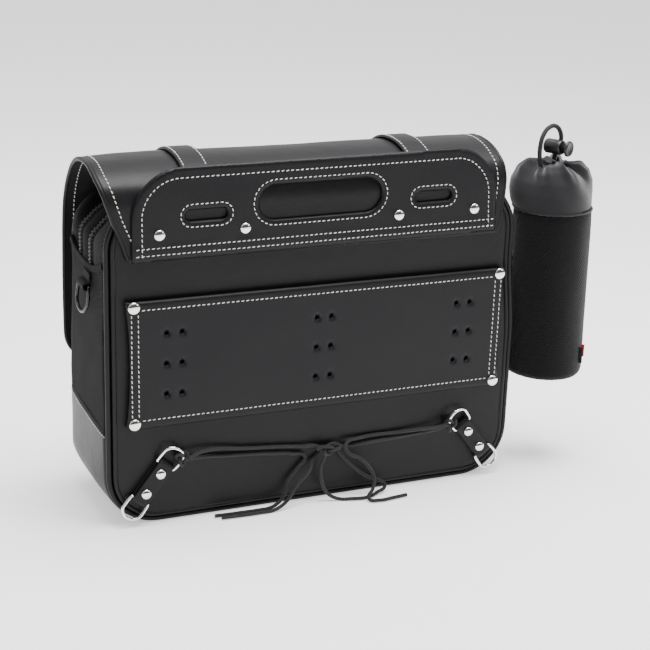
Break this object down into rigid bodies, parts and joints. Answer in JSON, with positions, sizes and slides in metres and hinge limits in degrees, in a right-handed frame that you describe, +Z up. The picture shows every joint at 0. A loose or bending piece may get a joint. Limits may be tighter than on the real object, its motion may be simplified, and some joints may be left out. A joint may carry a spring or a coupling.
{
  "type": "motorcycle side bag",
  "caption": "Boxy black motorcycle side bag with a roll-over flap, handle plate, drilled mounting back, lashing cords and a drawstring bottle holder on one end.",
  "frame": {"origin": "middle of the flat leather base, on the ground", "axes": "+X towards the end with the bottle holder, -Y out of the mounting back, +Z up"},
  "size_m": [0.5298, 0.1839, 0.3611],
  "materials": {
    "black_leather": "fine-grain synthetic leather with a soft sheen",
    "gusset_fabric": "matt woven nylon",
    "zip_tape": "woven zip tape with a nylon coil",
    "webbing": "ribbed webbing",
    "dobby_fabric": "textured dobby weave over foam",
    "collar_taffeta": "smooth taffeta",
    "stiffener_board": "plain board",
    "polished_nickel": "polished",
    "black_metal": "black plated",
    "black_plastic": "moulded",
    "black_lacing": "round braided lace"
  },
  "bodies": {
    "bag": {"back_panel": "black_leather", "back_board": "stiffener_board", "base_board": "stiffener_board", "front_panel": "black_leather", "front_pocket": "black_leather", "base_gusset": "black_leather", "side_gusset_left": "gusset_fabric", "side_gusset_right": "gusset_fabric", "top_gusset_rear": "gusset_fabric", "expander_zip": "zip_tape", "top_gusset_middle": "gusset_fabric", "back_piping": "black_leather", "front_piping": "black_leather", "side_tab_left": "webbing", "side_tab_right": "webbing", "mount_panel": "black_leather", "mount_rivet_upper_left": "polished_nickel", "mount_rivet_lower_left": "polished_nickel", "mount_rivet_upper_right": "polished_nickel", "mount_rivet_lower_right": "polished_nickel", "handle_plate": "black_leather", "plate_rivet_outer_left": "polished_nickel", "plate_rivet_outer_right": "polished_nickel", "plate_rivet_inner_left": "polished_nickel", "plate_rivet_inner_right": "polished_nickel", "flap_back": "black_leather", "corner_tab_left": "black_leather", "corner_tab_right": "black_leather", "corner_ring_upper_left": "polished_nickel", "corner_ring_upper_right": "polished_nickel", "magnet_base_left": "black_metal", "magnet_base_right": "black_metal", "lace_left_loop": "black_lacing", "lace_left_tail": "black_lacing", "lace_right_tail": "black_lacing", "lace_right_end": "black_lacing"},
    "flap": {"flap_cover": "black_leather", "strap_left": "black_leather", "strap_right": "black_leather", "magnet_left": "black_metal", "magnet_right": "black_metal"},
    "zip_front": {"front_top_panel": "black_leather", "front_top_gusset": "gusset_fabric", "front_top_piping": "black_leather"},
    "main_slider": {"main_zip_slider": "black_metal"},
    "expander_slider": {"expander_zip_slider": "black_metal"},
    "buckle_left": {"buckle_frame_left": "polished_nickel"},
    "buckle_right": {"buckle_frame_right": "polished_nickel"},
    "prong_left": {"buckle_prong_left": "polished_nickel"},
    "prong_right": {"buckle_prong_right": "polished_nickel"},
    "ring_lower_left": {"corner_ring_lower_left": "polished_nickel"},
    "ring_lower_right": {"corner_ring_lower_right": "polished_nickel"},
    "ring_side_left": {"side_ring_left": "black_metal"},
    "bottle_holder": {"side_ring_right": "black_metal", "holder_hanger": "webbing", "holder_cup": "dobby_fabric", "holder_collar": "collar_taffeta", "drawcord": "black_lacing", "cord_lock_barrel": "black_plastic"},
    "lock_button": {"cord_lock_button": "black_plastic"}
  },
  "joints": [
    {"name": "flap_hinge", "type": "hinge", "parent": "bag", "child": "flap", "pos_m": [0, -0.0335, 0.3445], "axis": [1, 0, 0], "range_deg": [0, 120]},
    {"name": "front_fold", "type": "hinge", "parent": "bag", "child": "zip_front", "pos_m": [0, 0.0678, 0.262], "axis": [-1, 0, 0], "range_deg": [0, 50]},
    {"name": "main_zip_slide", "type": "slide", "parent": "zip_front", "child": "main_slider", "axis": [1, 0, 0], "range_m": [-0.24, 0]},
    {"name": "expander_zip_slide", "type": "slide", "parent": "bag", "child": "expander_slider", "axis": [1, 0, 0], "range_m": [0, 0.24]},
    {"name": "buckle_left_hinge", "type": "hinge", "parent": "flap", "child": "buckle_left", "pos_m": [-0.124, 0.0871, 0.124], "axis": [1, 0, 0], "range_deg": [0, 40]},
    {"name": "buckle_right_hinge", "type": "hinge", "parent": "flap", "child": "buckle_right", "pos_m": [0.102, 0.0871, 0.124], "axis": [1, 0, 0], "range_deg": [0, 40]},
    {"name": "prong_left_hinge", "type": "hinge", "parent": "buckle_left", "child": "prong_left", "pos_m": [-0.124, 0.0871, 0.124], "axis": [1, 0, 0], "range_deg": [0, 70]},
    {"name": "prong_right_hinge", "type": "hinge", "parent": "buckle_right", "child": "prong_right", "pos_m": [0.102, 0.0871, 0.124], "axis": [1, 0, 0], "range_deg": [0, 70]},
    {"name": "ring_lower_left_hinge", "type": "hinge", "parent": "bag", "child": "ring_lower_left", "pos_m": [-0.18388, -0.0617, 0.02754], "axis": [-0.7934, 0, 0.6088], "range_deg": [0, 100]},
    {"name": "ring_lower_right_hinge", "type": "hinge", "parent": "bag", "child": "ring_lower_right", "pos_m": [0.18388, -0.0617, 0.02754], "axis": [-0.7934, 0, -0.6088], "range_deg": [0, 100]},
    {"name": "ring_side_left_hinge", "type": "hinge", "parent": "bag", "child": "ring_side_left", "pos_m": [-0.2187, -0.006, 0.227], "axis": [0, 1, 0], "range_deg": [0, 90]},
    {"name": "holder_swing", "type": "hinge", "parent": "bag", "child": "bottle_holder", "pos_m": [0.2187, -0.02, 0.222], "axis": [0, -1, 0], "range_deg": [0, 7]},
    {"name": "lock_button_press", "type": "slide", "parent": "bottle_holder", "child": "lock_button", "axis": [-0.4695, 0.8829, 0], "range_m": [0, 0.004], "stiffness_N_per_m": 600, "springref_m": -0.002}
  ],
  "couplings": [
    {"joint": "front_fold", "follows": "flap_hinge", "ratio": 0.41}
  ]
}
